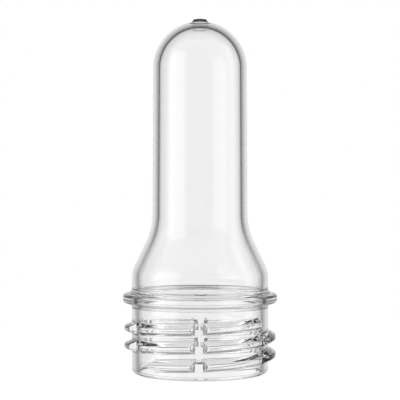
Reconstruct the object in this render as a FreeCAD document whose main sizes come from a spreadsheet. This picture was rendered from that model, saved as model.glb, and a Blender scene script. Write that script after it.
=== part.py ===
import FreeCAD, Part
import math
import os
import Sketcher
from FreeCAD import Placement, Rotation, Vector

# A bottle preform with a 28 mm screw neck, one injection-moulded piece of clear PET.
# It stands on its open rim, with its closed domed end up. The origin is the centre of the
# rim's face and +Z runs along the axis towards the dome. All lengths are in millimetres.
# An azimuth is measured from +X towards +Y, in degrees.

SIZES = [
    # alias, value, what it is
    ("neck_outer_d", 24.94, "outside of the neck wall between the threads"),
    ("neck_wall", 1.14, "wall of the neck"),
    ("rim_outer_round", 0.85, "outer edge of the sealing rim"),
    ("rim_inner_round", 0.10, "inner edge of the sealing rim"),
    ("ring_reach", 1.63, "how far the support ring stands out from the neck wall"),
    ("ring_bottom", 12.85, "rim to the thread side of the support ring"),
    ("ring_thick", 1.55, "thickness of the support ring"),
    ("ring_thread_side_round", 0.65, "outer edge of the ring, thread side"),
    ("ring_body_side_round", 0.30, "outer edge of the ring, body side"),
    ("ring_fillet", 0.55, "root of the ring against the neck, both sides"),
    ("flare_start", 17.45, "rim to the start of the flare"),
    ("flare_slope", 25.6, "slope of the flare's cone from the axis"),
    ("flare_neck_radius", 4.40, "outside arc at the neck end of the flare"),
    ("flare_body_radius", 12.40, "outside arc at the body end of the flare"),
    ("body_d", 17.38, "outside of the tube body at the flare"),
    ("body_dome_d", 17.14, "outside of the tube body at the dome"),
    ("body_wall", 1.19, "wall of the tube body and of the dome"),
    ("dome_start", 55.60, "rim to the start of the dome"),
    ("gate_base_d", 3.10, "gate vestige where it leaves the dome"),
    ("gate_top_d", 2.30, "flat end of the gate vestige"),
    ("gate_height", 0.40, "gate vestige above the top of the dome"),
    ("thread_depth", 1.38, "how far the thread crest stands out from the neck wall"),
    ("thread_lead", 3.18, "rise of the thread in one turn"),
    ("thread_root_width", 2.06, "thread section on the neck wall"),
    ("thread_crest_width", 0.86, "thread section at the crest, between its sharp corners"),
    ("thread_crest_round", 0.36, "rounds of the thread crest"),
    ("thread_sink", 0.40, "how far the thread's foot reaches into the neck wall"),
    ("thread_start_height", 2.42, "rim to the middle of the thread at its full start"),
    ("thread_start_azimuth", 240.0, "azimuth of the thread's full start"),
    ("thread_turns", 2.247, "turns of full thread"),
    ("thread_nose_arc", 14.0, "arc over which the thread grows to its full start"),
    ("vent_azimuth", 269.1, "azimuth of the first vent slot"),
    ("vent_root_width", 1.39, "vent slot at the neck wall"),
    ("vent_side_slope", 33.0, "slope of a vent side from the slot's own middle plane"),
    ("vent_count", 6, "vent slots round the neck"),
]

# The two ends of a line or an arc and an arc's centre, as a sketch counts them.
START, END, CENTRE = 1, 2, 3
# How far cutters run past what they cut.
OVERRUN = 1.0
# The thread's nose: part of its arc back from the full start, and share of the full section.
NOSE_STEPS = [(0.0, 1.0), (0.45, 0.89), (0.8, 0.6), (1.0, 0.18)]


def make_sheet(doc):
    """The spreadsheet of driving sizes."""
    sheet = doc.addObject("Spreadsheet::Sheet", "sizes")
    for row, (alias, value, note) in enumerate(SIZES, start=1):
        sheet.set(f"A{row}", note)
        sheet.set(f"B{row}", str(value))
        sheet.setAlias(f"B{row}", alias)
    doc.recompute()
    return sheet


def origin_part(body, role):
    """A plane or an axis of the body's own origin."""
    return next(f for f in body.Origin.OriginFeatures if f.Role == role)


def add_sketch(body, name, plane, axis=None, azimuth=None):
    """A sketch on an origin plane of the body, turned about one of its own axes to an azimuth."""
    sketch = body.newObject("Sketcher::SketchObject", name)
    sketch.AttachmentSupport = [(origin_part(body, plane), "")]
    sketch.MapMode = "FlatFace"
    if azimuth:
        sketch.AttachmentOffset = Placement(Vector(), Rotation(axis, 1.0))
        sketch.setExpression("AttachmentOffset.Rotation.Angle", azimuth)
    return sketch


class Outline:
    """Lines and arcs in a sketch, whose places and radii are tied to expressions of the sheet."""

    def __init__(self, sketch):
        self.sketch = sketch

    def value(self, expression):
        return float(self.sketch.evalExpression(expression))

    def line(self, start, end):
        return self.sketch.addGeometry(Part.LineSegment(Vector(*start), Vector(*end)))

    def arc(self, centre, radius, first, last):
        """An arc that runs anticlockwise from one angle to another, in radians."""
        circle = Part.Circle(Vector(*centre), Vector(0, 0, 1), radius)
        return self.sketch.addGeometry(Part.ArcOfCircle(circle, first, last))

    def join(self, one, one_end, other, other_end, smooth=False):
        kind = "Tangent" if smooth else "Coincident"
        self.sketch.addConstraint(Sketcher.Constraint(kind, one, one_end, other, other_end))

    def chain(self, lines, closed=True):
        """Joins lines end to start."""
        for one, other in zip(lines, lines[1:]):
            self.join(one, END, other, START)
        if closed:
            self.join(lines[-1], END, lines[0], START)

    def level(self, geometry):
        self.sketch.addConstraint(Sketcher.Constraint("Horizontal", geometry))

    def upright(self, geometry):
        self.sketch.addConstraint(Sketcher.Constraint("Vertical", geometry))

    def lay(self, point, line):
        """Holds a point on a line or on its run beyond its ends."""
        self.sketch.addConstraint(Sketcher.Constraint("PointOnObject", point, START, line))

    def bind(self, kind, *where, to):
        value = math.radians(self.value(to)) if kind == "Angle" else self.value(to)
        index = self.sketch.addConstraint(Sketcher.Constraint(kind, *where, value))
        self.sketch.setExpression(f"Constraints[{index}]", to)

    def place(self, geometry, end, x=None, y=None):
        """Holds an end of a line or an arc at a distance from the sketch's origin."""
        if x is not None:
            self.bind("DistanceX", -1, START, geometry, end, to=x)
        if y is not None:
            self.bind("DistanceY", -1, START, geometry, end, to=y)

    def finish(self):
        self.sketch.solve()
        self.sketch.Document.recompute()
        if not self.sketch.FullyConstrained:
            raise RuntimeError(f"the sketch {self.sketch.Name} isn't fully constrained")


def wall_outline(sketch, foot, neck_r, neck_arc, body_r, body_arc, dome_r, gate):
    """Half of a lengthwise section, from the rim's plane to the axis over the dome.

    It draws the outside of the wall, or the core that leaves the hollow, and each argument is an
    expression of the sheet. The flare is an arc off the neck, a straight cone and an arc into the
    body, each tangent to the next."""
    pen = Outline(sketch)
    z_foot, r_neck, r_body, r_dome = map(pen.value, (foot, neck_r, body_r, dome_r))
    z_start, z_dome = map(pen.value, ("sizes.flare_start", "sizes.dome_start"))
    r_bend, r_sweep = map(pen.value, (neck_arc, body_arc))
    turn = math.radians(pen.value("sizes.flare_slope"))
    across = r_neck - r_body - (r_bend + r_sweep) * (1 - math.cos(turn))
    z_end = z_start + (r_bend + r_sweep) * math.sin(turn) + across / math.tan(turn)
    out = Vector(math.cos(turn), math.sin(turn), 0)
    bend_centre = Vector(r_neck - r_bend, z_start, 0)
    sweep_centre = Vector(r_body + r_sweep, z_end, 0)

    floor = pen.line((0, z_foot), (r_neck, z_foot))
    neck = pen.line((r_neck, z_foot), (r_neck, z_start))
    bend = pen.arc(bend_centre, r_bend, 0, turn)
    cone = pen.line(bend_centre + out * r_bend, sweep_centre - out * r_sweep)
    sweep = pen.arc(sweep_centre, r_sweep, math.pi, math.pi + turn)
    body = pen.line((r_body, z_end), (r_dome, z_dome))
    pen.join(floor, END, neck, START)
    pen.join(neck, END, bend, START, smooth=True)
    pen.join(bend, END, cone, START, smooth=True)
    pen.join(cone, END, sweep, END, smooth=True)
    pen.join(sweep, START, body, START)
    pen.level(floor)
    pen.upright(neck)
    pen.place(floor, START, x="0", y=foot)
    pen.place(neck, END, x=neck_r, y="sizes.flare_start")
    pen.bind("Radius", bend, to=neck_arc)
    pen.bind("Radius", sweep, to=body_arc)
    pen.bind("Angle", cone, to="90 + sizes.flare_slope")
    pen.place(body, START, x=body_r)
    sketch.addConstraint(Sketcher.Constraint("Horizontal", body, START, sweep, CENTRE))
    pen.place(body, END, x=dome_r, y="sizes.dome_start")

    dome_stop = math.pi / 2
    if gate:
        dome_stop = math.acos(pen.value("sizes.gate_base_d / 2") / r_dome)
    dome = pen.arc((0, z_dome), r_dome, 0, dome_stop)
    pen.join(body, END, dome, START)
    pen.place(dome, CENTRE, x="0", y="sizes.dome_start")
    last = dome
    if gate:
        last = gate_lines(pen, dome, z_dome + r_dome * math.sin(dome_stop), z_dome + r_dome)
    else:
        pen.place(dome, END, x="0")
    top = z_dome + (r_dome + pen.value("sizes.gate_height") if gate else r_dome)
    axis = pen.line((0, top), (0, z_foot))
    pen.join(last, END, axis, START)
    pen.join(axis, END, floor, START)
    pen.finish()


def gate_lines(pen, dome, z_base, z_dome_top):
    """The stub that the gate leaves on the dome: a low cone with a flat end."""
    r_base, r_top = pen.value("sizes.gate_base_d / 2"), pen.value("sizes.gate_top_d / 2")
    z_top = z_dome_top + pen.value("sizes.gate_height")
    side = pen.line((r_base, z_base), (r_top, z_top))
    flat = pen.line((r_top, z_top), (0, z_top))
    pen.join(dome, END, side, START)
    pen.join(side, END, flat, START)
    pen.level(flat)
    pen.place(side, START, x="sizes.gate_base_d / 2")
    pen.place(side, END, x="sizes.gate_top_d / 2")
    top = "sizes.dome_start + sizes.body_dome_d / 2 + sizes.gate_height"
    pen.place(flat, END, x="0", y=top)
    return flat


def turn_about_axis(body, kind, name, sketch):
    """A full revolution or groove of a sketch about the part's axis."""
    feature = body.newObject(f"PartDesign::{kind}", name)
    feature.Profile = (sketch, [""])
    feature.ReferenceAxis = (origin_part(body, "Z_Axis"), [""])
    feature.Angle = 360.0
    return feature


def make_wall(body):
    """The moulding without its ring and thread: the outside turned solid, the core then taken out."""
    outside = add_sketch(body, "outside_section", "XZ_Plane")
    wall_outline(
        outside,
        foot="0",
        neck_r="sizes.neck_outer_d / 2",
        neck_arc="sizes.flare_neck_radius",
        body_r="sizes.body_d / 2",
        body_arc="sizes.flare_body_radius",
        dome_r="sizes.body_dome_d / 2",
        gate=True,
    )
    turn_about_axis(body, "Revolution", "outside", outside)
    core = add_sketch(body, "core_section", "XZ_Plane")
    wall_outline(
        core,
        foot=f"-{OVERRUN}",
        neck_r="sizes.neck_outer_d / 2 - sizes.neck_wall",
        neck_arc="sizes.flare_neck_radius - sizes.neck_wall",
        body_r="sizes.body_d / 2 - sizes.body_wall",
        body_arc="sizes.flare_body_radius + sizes.body_wall",
        dome_r="sizes.body_dome_d / 2 - sizes.body_wall",
        gate=False,
    )
    return turn_about_axis(body, "Groove", "core", core)


def make_ring(body):
    """The support ring round the neck, square as yet."""
    sketch = add_sketch(body, "ring_section", "XZ_Plane")
    pen = Outline(sketch)
    inner = "sizes.neck_outer_d / 2 - sizes.neck_wall / 2"
    outer = "sizes.neck_outer_d / 2 + sizes.ring_reach"
    low = "sizes.ring_bottom"
    high = "sizes.ring_bottom + sizes.ring_thick"
    r_in, r_out, z_low, z_high = map(pen.value, (inner, outer, low, high))
    corners = [(r_in, z_low), (r_out, z_low), (r_out, z_high), (r_in, z_high)]
    sides = [pen.line(a, b) for a, b in zip(corners, corners[1:] + corners[:1])]
    pen.chain(sides)
    pen.level(sides[0])
    pen.level(sides[2])
    pen.upright(sides[1])
    pen.upright(sides[3])
    pen.place(sides[0], START, x=inner, y=low)
    pen.place(sides[1], END, x=outer, y=high)
    pen.finish()
    return turn_about_axis(body, "Revolution", "support_ring", sketch)


def round_circle(body, name, radius, height, size):
    """Rounds the one circular edge of the solid that has this radius and this height."""
    body.Document.recompute()
    base = body.Tip
    r = float(base.evalExpression(radius))
    z = float(base.evalExpression(height))
    names = []
    for index, edge in enumerate(base.Shape.Edges, start=1):
        if edge.Degenerated or not isinstance(edge.Curve, Part.Circle):
            continue
        if abs(edge.Curve.Radius - r) < 1e-5 and abs(edge.Curve.Center.z - z) < 1e-5:
            names.append(f"Edge{index}")
    if not names:
        raise RuntimeError(f"no edge for {name} at radius {r} and height {z}")
    fillet = body.newObject("PartDesign::Fillet", name)
    fillet.Base = (base, names)
    fillet.setExpression("Radius", size)
    return fillet


def round_edges(body):
    """The mould's rounds on the rim and on the support ring."""
    neck, ring = "sizes.neck_outer_d / 2", "sizes.neck_outer_d / 2 + sizes.ring_reach"
    bore = "sizes.neck_outer_d / 2 - sizes.neck_wall"
    low, high = "sizes.ring_bottom", "sizes.ring_bottom + sizes.ring_thick"
    round_circle(body, "rim_outer_edge", neck, "0", "sizes.rim_outer_round")
    round_circle(body, "rim_inner_edge", bore, "0", "sizes.rim_inner_round")
    round_circle(body, "ring_root_low", neck, low, "sizes.ring_fillet")
    round_circle(body, "ring_root_high", neck, high, "sizes.ring_fillet")
    round_circle(body, "ring_edge_low", ring, low, "sizes.ring_thread_side_round")
    round_circle(body, "ring_edge_high", ring, high, "sizes.ring_body_side_round")


def thread_section(body, name, back, share):
    """The thread's section in a plane through the axis, a part of the nose's arc back from its
    full start and at a share of its full size: a foot in the wall, two flanks, a rounded crest."""
    arc = f"sizes.thread_nose_arc * {back}"
    sketch = add_sketch(
        body, name, "XZ_Plane", Vector(0, 1, 0), f"sizes.thread_start_azimuth - {arc}"
    )
    pen = Outline(sketch)
    middle = f"sizes.thread_start_height - sizes.thread_lead * {arc} / 360"
    wall = "sizes.neck_outer_d / 2"
    foot = f"{wall} - sizes.thread_sink"
    crest = f"{wall} + sizes.thread_depth * {share}"
    half_root = f"sizes.thread_root_width / 2 * {share}"
    half_crest = f"sizes.thread_crest_width / 2 * {share}"
    rounding = f"sizes.thread_crest_round * {share}"
    z, r_wall, r_foot, r_crest = map(pen.value, (middle, wall, foot, crest))
    root, flat, q = map(pen.value, (half_root, half_crest, rounding))

    flank = Vector(r_crest - r_wall, root - flat, 0)
    lean = math.atan2(flank.y, flank.x)
    trim = q * math.tan((math.pi / 2 - lean) / 2)
    step = flank.normalize() * trim
    low_side = [(r_foot, z - root), (r_wall, z - root)]
    low_end = (r_crest - step.x, z - flat - step.y)
    high_side = [(r_wall, z + root), (r_foot, z + root)]
    lower = pen.line(*low_side)
    low_flank = pen.line((r_wall, z - root), low_end)
    low_round = pen.arc((r_crest - q, z - flat + trim), q, lean - math.pi / 2, 0)
    top = pen.line((r_crest, z - flat + trim), (r_crest, z + flat - trim))
    high_round = pen.arc((r_crest - q, z + flat - trim), q, 0, math.pi / 2 - lean)
    high_flank = pen.line((low_end[0], 2 * z - low_end[1]), (r_wall, z + root))
    upper = pen.line(*high_side)
    back_side = pen.line((r_foot, z + root), (r_foot, z - root))
    pen.join(lower, END, low_flank, START)
    pen.join(low_flank, END, low_round, START, smooth=True)
    pen.join(low_round, END, top, START, smooth=True)
    pen.join(top, END, high_round, START, smooth=True)
    pen.join(high_round, END, high_flank, START, smooth=True)
    pen.join(high_flank, END, upper, START)
    pen.join(upper, END, back_side, START)
    pen.join(back_side, END, lower, START)
    pen.level(lower)
    pen.level(upper)
    pen.upright(top)
    pen.upright(back_side)
    pen.place(lower, START, x=foot, y=f"{middle} - {half_root}")
    pen.place(lower, END, x=wall)
    pen.place(upper, START, x=wall, y=f"{middle} + {half_root}")
    pen.bind("Radius", low_round, to=rounding)
    pen.bind("Radius", high_round, to=rounding)
    low_corner = sketch.addGeometry(Part.Point(Vector(r_crest, z - flat, 0)), True)
    high_corner = sketch.addGeometry(Part.Point(Vector(r_crest, z + flat, 0)), True)
    pen.place(low_corner, START, x=crest, y=f"{middle} - {half_crest}")
    pen.place(high_corner, START, x=crest, y=f"{middle} + {half_crest}")
    pen.lay(low_corner, low_flank)
    pen.lay(low_corner, top)
    pen.lay(high_corner, high_flank)
    pen.finish()
    return sketch


def make_thread(body):
    """The thread: one start, right-handed, with a nose that grows out of the neck wall."""
    sections = [
        thread_section(body, f"thread_section_{number}", back, share)
        for number, (back, share) in enumerate(NOSE_STEPS)
    ]
    helix = body.newObject("PartDesign::AdditiveHelix", "thread")
    helix.Profile = (sections[0], [""])
    helix.ReferenceAxis = (origin_part(body, "Z_Axis"), [""])
    helix.Mode = "pitch-turns-angle"
    helix.setExpression("Pitch", "sizes.thread_lead")
    helix.setExpression("Turns", "sizes.thread_turns")
    body.Document.recompute()
    nose = body.newObject("PartDesign::AdditiveLoft", "thread_nose")
    nose.Profile = (sections[0], [""])
    nose.Sections = [(section, [""]) for section in sections[1:]]
    nose.Ruled = False
    body.Document.recompute()


def make_vents(body):
    """Slots across every turn of the thread, wider at the crest, evenly spaced round the neck."""
    sketch = add_sketch(body, "vent_section", "XY_Plane", Vector(0, 0, 1), "sizes.vent_azimuth")
    pen = Outline(sketch)
    wall = "sizes.neck_outer_d / 2"
    outer = f"{wall} + sizes.thread_depth + {OVERRUN}"
    r_wall, r_outer = pen.value(wall), pen.value(outer)
    half = pen.value("sizes.vent_root_width / 2")
    slope = math.tan(math.radians(pen.value("sizes.vent_side_slope")))
    x_root = math.sqrt(r_wall**2 - half**2)
    wide = half + (r_outer - x_root) * slope
    turn = math.asin(half / r_wall)
    root = pen.arc((0, 0), r_wall, -turn, turn)
    left = pen.line((x_root, half), (r_outer, wide))
    end = pen.line((r_outer, wide), (r_outer, -wide))
    right = pen.line((r_outer, -wide), (x_root, -half))
    pen.join(root, END, left, START)
    pen.join(left, END, end, START)
    pen.join(end, END, right, START)
    pen.join(right, END, root, START)
    pen.upright(end)
    pen.place(root, CENTRE, x="0", y="0")
    pen.bind("Radius", root, to=wall)
    pen.place(root, END, y="sizes.vent_root_width / 2")
    pen.bind("DistanceY", root, START, root, END, to="sizes.vent_root_width")
    pen.place(end, START, x=outer)
    pen.bind("Angle", -1, START, left, START, to="sizes.vent_side_slope")
    pen.bind("Angle", right, END, -1, START, to="sizes.vent_side_slope")
    pen.finish()
    unvented = body.Tip.Shape.Volume
    vent = body.newObject("PartDesign::Pocket", "vent")
    vent.Profile = (sketch, [""])
    vent.Type = "Length"
    vent.Reversed = True
    vent.setExpression("Length", "sizes.ring_bottom - sizes.ring_fillet")
    body.Document.recompute()
    pattern = body.newObject("PartDesign::PolarPattern", "vents")
    pattern.Originals = [vent]
    pattern.Axis = (origin_part(body, "Z_Axis"), [""])
    pattern.Angle = 360.0
    pattern.setExpression("Occurrences", "sizes.vent_count")
    body.Tip = pattern
    body.Document.recompute()
    if body.Shape.Volume >= unvented:
        raise RuntimeError("the vent slots cut nothing")


def check(doc, bodies):
    """Stops on an object that failed or a solid that isn't sound."""
    for item in doc.Objects:
        if "Invalid" in item.State or "Error" in item.State:
            raise RuntimeError(f"{item.Name} failed: {item.State}")
    for body in bodies:
        if body.Shape.isNull() or not body.Shape.isValid() or len(body.Shape.Solids) != 1:
            raise RuntimeError(f"{body.Label} isn't one sound solid")


def main():
    doc = FreeCAD.newDocument("preform")
    make_sheet(doc)
    body = doc.addObject("PartDesign::Body", "preform")
    body.Label = "preform"
    make_wall(body)
    make_ring(body)
    round_edges(body)
    make_thread(body)
    make_vents(body)
    doc.recompute()
    check(doc, [body])
    os.makedirs("parts", exist_ok=True)
    body.Shape.exportStep(f"parts/{body.Label}.step")
    box = body.Shape.optimalBoundingBox(True)
    size = f"{box.XLength:.2f} x {box.YLength:.2f} x {box.ZLength:.2f} mm"
    print(f"{body.Label}: {body.Shape.Volume:.1f} mm3, {size}")


main()
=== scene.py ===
import math

import bmesh
import bpy
import numpy as np
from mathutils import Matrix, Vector


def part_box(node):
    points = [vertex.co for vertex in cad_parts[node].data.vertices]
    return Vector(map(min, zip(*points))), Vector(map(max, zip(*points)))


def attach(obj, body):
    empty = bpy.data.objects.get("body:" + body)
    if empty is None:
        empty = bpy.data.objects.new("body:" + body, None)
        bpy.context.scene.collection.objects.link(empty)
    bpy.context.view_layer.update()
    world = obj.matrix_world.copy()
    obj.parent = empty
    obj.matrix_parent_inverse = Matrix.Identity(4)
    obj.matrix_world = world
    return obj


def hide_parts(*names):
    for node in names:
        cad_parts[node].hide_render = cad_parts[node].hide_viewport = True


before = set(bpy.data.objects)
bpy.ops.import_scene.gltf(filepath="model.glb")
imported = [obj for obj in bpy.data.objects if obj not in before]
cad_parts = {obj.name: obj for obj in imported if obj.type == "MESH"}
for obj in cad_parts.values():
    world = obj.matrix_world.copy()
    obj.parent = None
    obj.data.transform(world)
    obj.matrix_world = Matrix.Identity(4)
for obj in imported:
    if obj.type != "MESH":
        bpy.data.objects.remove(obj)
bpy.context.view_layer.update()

# A clear bottle preform, standing on its open rim with its domed end up. One moulded piece.
# Lengths of the moulding are in millimetres, as on its drawing, and MM turns them into metres.

MM = 0.001
low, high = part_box("preform")
HEIGHT = high.z / MM
RING_R = high.x / MM

# The neck and its sealing rim.
NECK_R = 12.47
NECK_WALL = 1.14
RIM_OUTER_ROUND = 0.88
RIM_INNER_ROUND = 0.10
# The support ring.
RING_BOTTOM = 12.80
RING_TOP = 14.48
RING_LOW_ROUND = 0.62
RING_HIGH_ROUND = 0.48
RING_LOW_ROOT = 0.94
RING_HIGH_ROOT = 1.08
# The flare, the tube body, the dome and the stub left by the gate.
FLARE_START = 17.45
FLARE_SLOPE = math.radians(25.6)
FLARE_BEND = 4.40
FLARE_SWEEP = 12.40
BODY_R = 8.69
BODY_WALL = 1.19
DOME_R = 8.57
DOME_START = 55.60
GATE_BASE_R = 1.55
GATE_TOP_R = 1.15
GATE_ROOT = 0.25
GATE_EDGE = 0.10
# The thread, right-handed with one start, and the vent slots across it.
THREAD_LEAD = 3.18
THREAD_DEPTH = 1.38
THREAD_ROOT = 2.06
THREAD_CREST = 0.86
CREST_ROUND = 0.36
ROOT_ROUND = 0.14
THREAD_START_Z = 2.42
THREAD_START_AZIMUTH = 240.0
THREAD_TURNS = 2.247
NOSE_ARC = 14.0
VENT_AZIMUTH = 269.1
VENT_COUNT = 6
VENT_HALF = 0.695
VENT_SLOPE = math.radians(33.0)
VENT_EDGE_ROUND = 0.45
VENT_FOOT_ROUND = 0.15
# Degrees off a slot's middle: columns up to the first make its root, and up to the last its slope.
VENT_COLUMNS = (2, 10)
# How finely the mesh is cut: columns round the axis, and where the threaded band is let in.
COLUMNS = 360
BAND_LOW = 0.98
BAND_HIGH = 11.60
SEAM_GAP = 0.08
SHARP_ANGLE = math.radians(40)
PET_IOR = 1.575
# The camera's lens in millimetres, and its distance and height in metres.
LENS = 112.5
CAMERA_AWAY = 0.229
CAMERA_HEIGHT = 0.03153
# The floor, and the studio that shows in the clear plastic. The surround gives how bright it is at
# each angle, in degrees, from straight behind the preform: a backdrop that fades, a dark gap, then
# the pale room. Each softbox adds its azimuth, half width, lowest and highest edge, softness (in
# degrees) and strength, and each dark card takes light away in the same way.
WHITE = 1.0
FLOOR_R = 90.0
FLOOR_DROP = 0.05
FLOOR_SHADE = 0.12
FLOOR_GLOW = 0.95
SURROUND = (
    (0, 0.90),
    (14, 0.91),
    (22, 0.76),
    (32, 0.61),
    (43, 0.38),
    (49, 0.06),
    (54, 0.06),
    (62, 0.46),
    (70, 0.62),
    (82, 0.86),
    (95, 1.00),
    (115, 0.92),
    (142, 0.72),
    (180, 0.75),
)
TABLE_GLOW = 0.74
TABLE_EDGE = (-9.0, -22.0)
SOFTBOXES = (
    ("left_softbox", -119.5, 23, -34, 36, 9, 0.76),
    ("right_softbox", 86, 12, -26, 48, 10, 0.55),
)
CARDS = (
    ("table_gap", 0, 9, -26, -18, 2, 0.74),
    ("under_gap", 0, 45, -90, -64, 3, 0.55),
)


def arc(centre, radius, start, stop, steps):
    """Points along an arc, in millimetres across and up, without its first point."""
    angles = [start + (stop - start) * i / steps for i in range(1, steps + 1)]
    return [(centre[0] + radius * math.cos(a), centre[1] + radius * math.sin(a)) for a in angles]


def edit(obj):
    bpy.ops.object.select_all(action="DESELECT")
    obj.select_set(True)
    bpy.context.view_layer.objects.active = obj
    bpy.ops.object.mode_set(mode="EDIT")
    bpy.ops.mesh.select_mode(type="VERT")


def leave_edit():
    bpy.ops.object.mode_set(mode="OBJECT")


def draw_chain(name, chains):
    """Draws open chains of points in the XZ plane, each point extruded from the one before."""
    bpy.ops.object.select_all(action="DESELECT")
    bpy.ops.mesh.primitive_plane_add(size=MM, location=(0, 0, 0))
    obj = bpy.context.active_object
    obj.name = name
    edit(obj)
    for number, chain in enumerate(chains):
        if number:
            bpy.ops.mesh.select_all(action="DESELECT")
            bpy.ops.mesh.primitive_plane_add(size=MM, location=(0, 0, 0))
        bpy.ops.mesh.merge(type="CENTER")
        start = Vector((chain[0][0] * MM, 0, chain[0][1] * MM))
        bpy.ops.transform.translate(value=start)
        for (x0, z0), (x1, z1) in zip(chain, chain[1:]):
            step = ((x1 - x0) * MM, 0, (z1 - z0) * MM)
            bpy.ops.mesh.extrude_region_move(TRANSFORM_OT_translate={"value": step})
    leave_edit()
    return obj


def flare(neck_r, body_r, bend_r, sweep_r, steps):
    """The flare of the outside or of the bore: an arc off the neck, a cone and an arc to the body."""
    across = neck_r - body_r - (bend_r + sweep_r) * (1 - math.cos(FLARE_SLOPE))
    end = FLARE_START + (bend_r + sweep_r) * math.sin(FLARE_SLOPE) + across / math.tan(FLARE_SLOPE)
    sweep_centre = (body_r + sweep_r, end)
    low_arc = arc((neck_r - bend_r, FLARE_START), bend_r, 0, FLARE_SLOPE, steps[0])
    cone_low = low_arc[-1]
    cone_high = (
        sweep_centre[0] - sweep_r * math.cos(FLARE_SLOPE),
        sweep_centre[1] - sweep_r * math.sin(FLARE_SLOPE),
    )
    cone = support(cone_low, cone_high)
    high_arc = arc(sweep_centre, sweep_r, math.pi + FLARE_SLOPE, math.pi, steps[1])
    return low_arc + cone + high_arc


def support(start, stop, inset=0.15):
    """Points along a straight stretch, close to each end, so that the arcs beside it end cleanly."""
    length = math.dist(start, stop)
    shares = (inset / length, 0.5, 1 - inset / length, 1.0)
    return [(start[0] + (stop[0] - start[0]) * s, start[1] + (stop[1] - start[1]) * s) for s in shares]


def upper_outside():
    """From the band's top edge over the ring, the flare and the body to the top of the gate's stub."""
    z = BAND_HIGH + SEAM_GAP
    root_low = RING_BOTTOM - RING_LOW_ROOT
    line = [(NECK_R, z), (NECK_R, root_low)]
    line += arc((NECK_R + RING_LOW_ROOT, root_low), RING_LOW_ROOT, math.pi, math.pi / 2, 6)
    line += support(line[-1], (RING_R - RING_LOW_ROUND, RING_BOTTOM), 0.06)
    centre = (RING_R - RING_LOW_ROUND, RING_BOTTOM + RING_LOW_ROUND)
    line += arc(centre, RING_LOW_ROUND, -math.pi / 2, 0, 7)
    line += support(line[-1], (RING_R, RING_TOP - RING_HIGH_ROUND), 0.06)
    centre = (RING_R - RING_HIGH_ROUND, RING_TOP - RING_HIGH_ROUND)
    line += arc(centre, RING_HIGH_ROUND, 0, math.pi / 2, 5)
    line += support(line[-1], (NECK_R + RING_HIGH_ROOT, RING_TOP), 0.06)
    root_high = RING_TOP + RING_HIGH_ROOT
    line += arc((NECK_R + RING_HIGH_ROOT, root_high), RING_HIGH_ROOT, -math.pi / 2, -math.pi, 6)
    line += support(line[-1], (NECK_R, FLARE_START))
    line += flare(NECK_R, BODY_R, FLARE_BEND, FLARE_SWEEP, (8, 12))
    line += support(line[-1], (DOME_R, DOME_START))
    top = DOME_START + DOME_R
    foot = math.acos((GATE_BASE_R + GATE_ROOT) / DOME_R)
    line += arc((0, DOME_START), DOME_R, 0, foot, 32)
    line += [
        (GATE_BASE_R + 0.09, top - 0.13),
        (GATE_BASE_R, top - 0.05),
        (GATE_TOP_R + GATE_EDGE, HEIGHT - 0.10),
        (GATE_TOP_R + GATE_EDGE * 0.6, HEIGHT - 0.03),
        (GATE_TOP_R, HEIGHT),
        (GATE_TOP_R * 0.9, HEIGHT),
        (0, HEIGHT),
    ]
    return line


def rim_and_bore():
    """From the band's bottom edge round the sealing rim and up the bore to the top of its dome."""
    bore_r = NECK_R - NECK_WALL
    core_r = BODY_R - BODY_WALL
    dome_r = DOME_R - BODY_WALL
    line = [(NECK_R, BAND_LOW - SEAM_GAP), (NECK_R, RIM_OUTER_ROUND)]
    centre = (NECK_R - RIM_OUTER_ROUND, RIM_OUTER_ROUND)
    line += arc(centre, RIM_OUTER_ROUND, 0, -math.pi / 2, 8)
    line += [(bore_r + RIM_INNER_ROUND, 0)]
    line += arc((bore_r + RIM_INNER_ROUND, RIM_INNER_ROUND), RIM_INNER_ROUND, -math.pi / 2, -math.pi, 3)
    line += support(line[-1], (bore_r, FLARE_START))
    line += flare(bore_r, core_r, FLARE_BEND - NECK_WALL, FLARE_SWEEP + BODY_WALL, (8, 12))
    line += support(line[-1], (dome_r, DOME_START))
    line += arc((0, DOME_START), dome_r, 0, math.pi / 2, 28)
    line[-1] = (0, DOME_START + dome_r)
    return line


def thread_pitch():
    """The neck wall over one pitch of the thread, with the thread's section in its middle."""
    half_root, half_crest = THREAD_ROOT / 2, THREAD_CREST / 2
    crest_r = NECK_R + THREAD_DEPTH
    lean = math.atan2(half_root - half_crest, THREAD_DEPTH)
    trim = CREST_ROUND * math.tan((math.pi / 2 - lean) / 2)
    root_trim = ROOT_ROUND * math.tan((math.pi / 2 - lean) / 2)
    flank_low = (
        NECK_R + root_trim * math.cos(lean),
        -half_root + root_trim * math.sin(lean),
    )
    root = arc((NECK_R + ROOT_ROUND, -half_root - root_trim), ROOT_ROUND, math.pi, math.pi / 2 + lean, 3)
    crest = arc((crest_r - CREST_ROUND, -half_crest + trim), CREST_ROUND, lean - math.pi / 2, 0, 4)
    crest_start = (
        crest_r - CREST_ROUND + CREST_ROUND * math.cos(lean - math.pi / 2),
        -half_crest + trim + CREST_ROUND * math.sin(lean - math.pi / 2),
    )
    root[-1] = flank_low
    lower = [(NECK_R, -THREAD_LEAD / 2), (NECK_R, -half_root - root_trim)] + root
    lower += [((flank_low[0] + crest_start[0]) / 2, (flank_low[1] + crest_start[1]) / 2), crest_start]
    lower += crest
    return lower + [(r, -z) for r, z in reversed(lower)]


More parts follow.
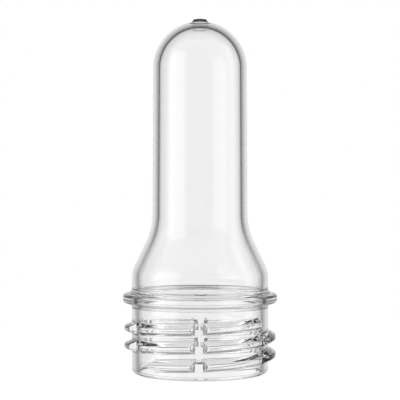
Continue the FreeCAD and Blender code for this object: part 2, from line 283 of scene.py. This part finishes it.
def make_band():
    """The threaded band: one pitch wound round the neck, with the thread let down to the wall
    outside its run and in the vent slots, and cut level at both ends."""
    start_azimuth = VENT_AZIMUTH - 180 / VENT_COUNT
    turn_back = (start_azimuth - THREAD_START_AZIMUTH) / 360
    start_z = THREAD_START_Z + THREAD_LEAD * (turn_back - 1)
    band = draw_chain("threaded_band", [[(r, z + start_z) for r, z in thread_pitch()]])
    turn_to_azimuth(band, start_azimuth)
    wind = band.modifiers.new("wind", "SCREW")
    wind.axis = "Z"
    wind.angle = math.tau
    wind.screw_offset = THREAD_LEAD * MM
    wind.iterations = 5
    wind.steps = COLUMNS
    wind.render_steps = COLUMNS
    bpy.ops.object.select_all(action="DESELECT")
    band.select_set(True)
    bpy.context.view_layer.objects.active = band
    bpy.ops.object.modifier_apply(modifier="wind")
    shape_thread(band)
    edit(band)
    bpy.ops.mesh.select_all(action="SELECT")
    bpy.ops.mesh.remove_doubles(threshold=0.002 * MM)
    for height, outwards in ((BAND_LOW, -1), (BAND_HIGH, 1)):
        bpy.ops.mesh.select_all(action="SELECT")
        bpy.ops.mesh.bisect(
            plane_co=(0, 0, height * MM), plane_no=(0, 0, outwards), clear_outer=True, threshold=1e-7
        )
    leave_edit()
    return band


def turn_to_azimuth(obj, degrees):
    edit(obj)
    bpy.ops.mesh.select_all(action="SELECT")
    bpy.ops.transform.rotate(value=-math.radians(degrees), orient_axis="Z", center_override=(0, 0, 0))
    leave_edit()


def shape_thread(band):
    """Grows the thread out of the wall over its nose, ends it in a slot and cuts the slots."""
    count = len(band.data.vertices)
    co = np.empty(count * 3)
    band.data.vertices.foreach_get("co", co)
    co = co.reshape(-1, 3) / MM
    azimuth = np.degrees(np.arctan2(co[:, 1], co[:, 0]))
    r = np.hypot(co[:, 0], co[:, 1])
    middle = THREAD_START_Z + THREAD_LEAD * (azimuth - THREAD_START_AZIMUTH) / 360
    turns = np.round((co[:, 2] - middle) / THREAD_LEAD)
    run = azimuth - THREAD_START_AZIMUTH + 360 * turns
    rise = co[:, 2] - middle - THREAD_LEAD * turns

    back = np.clip(-run / NOSE_ARC, 0, 1)
    share = np.sqrt(1 - back**2)
    share[run > THREAD_TURNS * 360] = 0
    past_tip = np.clip((-run - NOSE_ARC) / NOSE_ARC, 0, 1)
    narrow = np.maximum(share, 0.2 + 0.8 * past_tip)
    narrow[run > 0] = 1
    section = THREAD_ROOT / 2 + ROOT_ROUND
    outside = np.clip((np.abs(rise) - section) / (THREAD_LEAD / 2 - section), 0, 1)
    rise = np.sign(rise) * (
        np.minimum(np.abs(rise), section) * narrow
        + outside * (THREAD_LEAD / 2 - section * narrow)
    )
    full = r - NECK_R
    height = full * share

    tan_slope = math.tan(VENT_SLOPE)
    x_root = math.sqrt(NECK_R**2 - VENT_HALF**2)
    side = (VENT_HALF - x_root * tan_slope) * math.cos(VENT_SLOPE)
    pitch = 360 / VENT_COUNT
    off = (azimuth - VENT_AZIMUTH + pitch / 2) % pitch - pitch / 2
    root_off = math.degrees(math.asin(VENT_HALF / NECK_R))
    crest_off = math.degrees(VENT_SLOPE + math.asin(side / (NECK_R + THREAD_DEPTH)))
    edge_off = np.degrees(VENT_SLOPE + np.arcsin(side / (NECK_R + np.maximum(height, 0.3))))
    edge_off[full < 0.01] = crest_off
    near = np.abs(off)
    first, last = VENT_COLUMNS
    moved = np.where(
        near <= first,
        near * root_off / first,
        np.where(
            near <= last,
            root_off + (near - first) / (last - first) * (edge_off - root_off),
            edge_off + (near - last) / (pitch / 2 - last) * (pitch / 2 - edge_off),
        ),
    )
    facing = np.radians(moved) - VENT_SLOPE
    cut = np.where(facing < -0.01, side / np.sin(np.minimum(facing, -0.01)) - NECK_R, 1e3)
    cut = np.maximum(cut, 0) + np.maximum(VENT_FOOT_ROUND - np.abs(cut), 0) ** 2 / (4 * VENT_FOOT_ROUND)
    blend = VENT_EDGE_ROUND * height / THREAD_DEPTH + 1e-9
    height = np.minimum(height, cut) - np.maximum(blend - np.abs(height - cut), 0) ** 2 / (4 * blend)
    shift = np.sign(off) * moved - off
    azimuth += shift
    z = middle + THREAD_LEAD * (turns + shift / 360) + rise
    angle = np.radians(azimuth)
    r = NECK_R + height
    shaped = np.stack([r * np.cos(angle), r * np.sin(angle), z], 1) * MM
    band.data.vertices.foreach_set("co", shaped.ravel())
    band.data.update()


def select_loop(obj, *heights):
    """Selects the open edges at these heights."""
    mesh = bmesh.from_edit_mesh(obj.data)
    for edge in mesh.edges:
        z = (edge.verts[0].co.z + edge.verts[1].co.z) / 2 / MM
        edge.select_set(edge.is_boundary and any(abs(z - h) < 0.01 for h in heights))
    bmesh.update_edit_mesh(obj.data)


def make_preform():
    """The whole moulding as one closed skin: two turned shells joined to the threaded band."""
    shells = draw_chain("preform_moulding", [upper_outside(), rim_and_bore()])
    turn_to_azimuth(shells, VENT_AZIMUTH)
    edit(shells)
    bpy.ops.mesh.select_all(action="SELECT")
    bpy.ops.mesh.spin(steps=COLUMNS, angle=math.tau, center=(0, 0, 0), axis=(0, 0, 1))
    bpy.ops.mesh.select_all(action="SELECT")
    bpy.ops.mesh.remove_doubles(threshold=0.002 * MM)
    leave_edit()
    band = make_band()
    bpy.ops.object.select_all(action="DESELECT")
    band.select_set(True)
    shells.select_set(True)
    bpy.context.view_layer.objects.active = shells
    bpy.ops.object.join()
    edit(shells)
    bpy.ops.mesh.select_mode(type="EDGE")
    for pair in ((BAND_LOW - SEAM_GAP, BAND_LOW), (BAND_HIGH, BAND_HIGH + SEAM_GAP)):
        bpy.ops.mesh.select_all(action="DESELECT")
        select_loop(shells, *pair)
        bpy.ops.mesh.bridge_edge_loops()
    bpy.ops.mesh.select_all(action="SELECT")
    bpy.ops.mesh.remove_doubles(threshold=0.0005 * MM)
    bpy.ops.mesh.normals_make_consistent(inside=False)
    leave_edit()
    bpy.ops.object.shade_smooth_by_angle(angle=SHARP_ANGLE)
    return shells


def new_group(name, inputs, outputs):
    """An empty shader group whose sockets are (name, kind, value) for inputs and (name, kind) for outputs."""
    group = bpy.data.node_groups.new(name, "ShaderNodeTree")
    for label, kind, value in inputs:
        socket = group.interface.new_socket(name=label, in_out="INPUT", socket_type=kind)
        if value is not None:
            socket.default_value = value
    for label, kind in outputs:
        group.interface.new_socket(name=label, in_out="OUTPUT", socket_type=kind)
    return group, group.nodes.new("NodeGroupInput"), group.nodes.new("NodeGroupOutput")


def moulding_marks_group():
    """The faint marks of moulding in clear plastic: flow lines along the axis and fine haze."""
    group, given, made = new_group(
        "moulding_marks",
        (
            ("Clear", "NodeSocketColor", (1, 1, 1, 1)),
            ("Hazy", "NodeSocketColor", (1, 1, 1, 1)),
            ("Polish", "NodeSocketFloat", 0.01),
            ("Haze", "NodeSocketFloat", 0.02),
        ),
        (("Color", "NodeSocketColor"), ("Roughness", "NodeSocketFloat"), ("Height", "NodeSocketFloat")),
    )
    nodes, links = group.nodes, group.links
    coord = nodes.new("ShaderNodeTexCoord")
    along = nodes.new("ShaderNodeMapping")
    along.inputs["Scale"].default_value = (900, 900, 30)
    links.new(coord.outputs["Object"], along.inputs["Vector"])
    flow = nodes.new("ShaderNodeTexNoise")
    flow.inputs["Scale"].default_value = 1
    flow.inputs["Detail"].default_value = 2
    links.new(along.outputs["Vector"], flow.inputs["Vector"])
    haze = nodes.new("ShaderNodeTexNoise")
    haze.inputs["Scale"].default_value = 260
    haze.inputs["Detail"].default_value = 4
    links.new(coord.outputs["Object"], haze.inputs["Vector"])
    patches = nodes.new("ShaderNodeMapRange")
    patches.inputs["From Min"].default_value = 0.45
    patches.inputs["From Max"].default_value = 0.75
    links.new(haze.outputs["Fac"], patches.inputs["Value"])
    tint = nodes.new("ShaderNodeMix")
    tint.data_type = "RGBA"
    links.new(patches.outputs["Result"], tint.inputs["Factor"])
    links.new(given.outputs["Clear"], tint.inputs["A"])
    links.new(given.outputs["Hazy"], tint.inputs["B"])
    links.new(tint.outputs["Result"], made.inputs["Color"])
    polish = nodes.new("ShaderNodeMix")
    links.new(patches.outputs["Result"], polish.inputs["Factor"])
    links.new(given.outputs["Polish"], polish.inputs["A"])
    links.new(given.outputs["Haze"], polish.inputs["B"])
    links.new(polish.outputs["Result"], made.inputs["Roughness"])
    links.new(flow.outputs["Fac"], made.inputs["Height"])
    return group


def clear_pet():
    """Clear PET, polished by the mould, with faint haze and flow lines."""
    material = bpy.data.materials.new("clear_pet")
    material.use_nodes = True
    nodes, links = material.node_tree.nodes, material.node_tree.links
    shader = nodes["Principled BSDF"]
    shader.inputs["IOR"].default_value = PET_IOR
    shader.inputs["Transmission Weight"].default_value = 1.0
    marks = nodes.new("ShaderNodeGroup")
    marks.node_tree = moulding_marks_group()
    marks.inputs["Clear"].default_value = (0.996, 0.996, 0.994, 1)
    marks.inputs["Hazy"].default_value = (0.985, 0.985, 0.982, 1)
    marks.inputs["Polish"].default_value = 0.008
    marks.inputs["Haze"].default_value = 0.020
    links.new(marks.outputs["Color"], shader.inputs["Base Color"])
    links.new(marks.outputs["Roughness"], shader.inputs["Roughness"])
    relief = nodes.new("ShaderNodeBump")
    relief.inputs["Strength"].default_value = 0.02
    relief.inputs["Distance"].default_value = 0.02 * MM
    links.new(marks.outputs["Height"], relief.inputs["Height"])
    links.new(relief.outputs["Normal"], shader.inputs["Normal"])
    return material


def softbox_group():
    """How much of a softbox is seen in a direction. Azimuth 0 is straight behind the preform from
    the camera, and grows to the right; all angles are in degrees."""
    labels = ("Azimuth", "Half width", "Lowest", "Highest", "Softness", "Strength")
    sockets = tuple((label, "NodeSocketFloat", 0.0) for label in labels)
    group, given, made = new_group(
        "softbox",
        (("Direction", "NodeSocketVector", None),) + sockets,
        (("Light", "NodeSocketFloat"),),
    )
    links = group.links

    def math_node(operation, *values):
        node = group.nodes.new("ShaderNodeMath")
        node.operation = operation
        for socket, value in zip(node.inputs, values):
            if isinstance(value, (int, float)):
                socket.default_value = value
            else:
                links.new(value, socket)
        return node.outputs[0]

    def ramp(value, start, softness):
        """Rises from 0 to 1 across the softness, half-way at the start."""
        past = math_node("DIVIDE", math_node("SUBTRACT", value, start), softness)
        rising = math_node("MAXIMUM", math_node("ADD", past, 0.5), 0)
        return math_node("SMOOTH_MIN", rising, 1, 0.2)

    split = group.nodes.new("ShaderNodeSeparateXYZ")
    links.new(given.outputs["Direction"], split.inputs[0])
    azimuth = math_node("DEGREES", math_node("ARCTAN2", split.outputs["X"], split.outputs["Y"]))
    turned = math_node("SUBTRACT", azimuth, given.outputs["Azimuth"])
    away = math_node("ABSOLUTE", math_node("WRAP", turned, 180, -180))
    height = math_node("DEGREES", math_node("ARCSINE", split.outputs["Z"]))
    soft = given.outputs["Softness"]
    inward = math_node("MULTIPLY", away, -1)
    across = ramp(inward, math_node("MULTIPLY", given.outputs["Half width"], -1), soft)
    above = ramp(height, given.outputs["Lowest"], soft)
    downward = math_node("MULTIPLY", height, -1)
    below = ramp(downward, math_node("MULTIPLY", given.outputs["Highest"], -1), soft)
    lit = math_node("MULTIPLY", math_node("MULTIPLY", across, above), below)
    links.new(math_node("MULTIPLY", lit, given.outputs["Strength"]), made.inputs["Light"])
    return group


def surround_light(nodes, links, direction):
    """The surround's brightness in a direction, turning to the table's below its edge."""
    split = nodes.new("ShaderNodeSeparateXYZ")
    links.new(direction, split.inputs[0])
    angle = nodes.new("ShaderNodeMath")
    angle.operation = "ARCCOSINE"
    links.new(split.outputs["Y"], angle.inputs[0])
    share = nodes.new("ShaderNodeMath")
    share.operation = "DIVIDE"
    share.inputs[1].default_value = math.pi
    links.new(angle.outputs[0], share.inputs[0])
    surround = nodes.new("ShaderNodeValToRGB")
    stops = surround.color_ramp.elements
    stops.remove(stops[0])
    for number, (degrees, value) in enumerate(SURROUND):
        stop = stops[0] if number == 0 else stops.new(degrees / 180)
        stop.position = degrees / 180
        stop.color = (value, value, value, 1)
    links.new(share.outputs[0], surround.inputs["Fac"])
    table = nodes.new("ShaderNodeMapRange")
    for label, degrees in zip(("From Min", "From Max"), TABLE_EDGE):
        table.inputs[label].default_value = math.sin(math.radians(degrees))
    links.new(split.outputs["Z"], table.inputs["Value"])
    low = nodes.new("ShaderNodeMix")
    links.new(table.outputs["Result"], low.inputs["Factor"])
    links.new(surround.outputs["Color"], low.inputs["A"])
    low.inputs["B"].default_value = TABLE_GLOW
    return low.outputs["Result"]


def make_studio():
    """Softboxes and dark cards round the preform, which only the clear plastic shows: to the camera
    the studio is plain white."""
    world = bpy.data.worlds.new("studio")
    bpy.context.scene.world = world
    world.use_nodes = True
    nodes, links = world.node_tree.nodes, world.node_tree.links
    coord = nodes.new("ShaderNodeTexCoord")
    light = surround_light(nodes, links, coord.outputs["Generated"])
    group = softbox_group()
    for operation, panels in (("ADD", SOFTBOXES), ("SUBTRACT", CARDS)):
        for name, *values in panels:
            panel = nodes.new("ShaderNodeGroup")
            panel.node_tree = group
            panel.label = name
            links.new(coord.outputs["Generated"], panel.inputs["Direction"])
            for socket, value in zip(list(panel.inputs)[1:], values):
                socket.default_value = value
            both = nodes.new("ShaderNodeMath")
            both.operation = operation
            links.new(light, both.inputs[0])
            links.new(panel.outputs["Light"], both.inputs[1])
            light = both.outputs[0]
    path = nodes.new("ShaderNodeLightPath")
    seen = nodes.new("ShaderNodeMix")
    links.new(path.outputs["Is Camera Ray"], seen.inputs["Factor"])
    links.new(light, seen.inputs["A"])
    seen.inputs["B"].default_value = WHITE
    links.new(seen.outputs["Result"], nodes["Background"].inputs["Color"])


def make_floor():
    """A small pale floor disc. What the preform shows through itself is the studio behind it."""
    bpy.ops.object.select_all(action="DESELECT")
    bpy.ops.mesh.primitive_circle_add(
        vertices=96, radius=FLOOR_R * MM, fill_type="NGON", location=(0, 0, -FLOOR_DROP * MM)
    )
    floor = bpy.context.active_object
    floor.name = "floor"
    material = bpy.data.materials.new("pale_floor")
    material.use_nodes = True
    nodes, links = material.node_tree.nodes, material.node_tree.links
    paint = nodes["Principled BSDF"]
    paint.inputs["Base Color"].default_value = (FLOOR_SHADE, FLOOR_SHADE, FLOOR_SHADE, 1)
    paint.inputs["Roughness"].default_value = 0.9
    paint.inputs["Specular IOR Level"].default_value = 0
    paint.inputs["Emission Color"].default_value = (1, 1, 1, 1)
    paint.inputs["Emission Strength"].default_value = FLOOR_GLOW
    clear = nodes.new("ShaderNodeBsdfTransparent")
    path = nodes.new("ShaderNodeLightPath")
    either = nodes.new("ShaderNodeMixShader")
    links.new(path.outputs["Is Camera Ray"], either.inputs["Fac"])
    links.new(clear.outputs["BSDF"], either.inputs[1])
    links.new(paint.outputs["BSDF"], either.inputs[2])
    links.new(either.outputs["Shader"], nodes["Material Output"].inputs["Surface"])
    floor.data.materials.append(material)


def make_camera():
    camera = bpy.data.cameras.new("camera")
    camera.sensor_width = 36
    camera.lens = LENS
    camera.clip_start = 0.01
    obj = bpy.data.objects.new("camera", camera)
    bpy.context.scene.collection.objects.link(obj)
    obj.location = (0, -CAMERA_AWAY, CAMERA_HEIGHT)
    obj.rotation_euler = (math.pi / 2, 0, 0)
    bpy.context.scene.camera = obj


preform = make_preform()
preform.data.materials.clear()
preform.data.materials.append(clear_pet())
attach(preform, "root")
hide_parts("preform")
make_floor()
make_studio()
make_camera()
bpy.context.scene.view_settings.view_transform = "Standard"
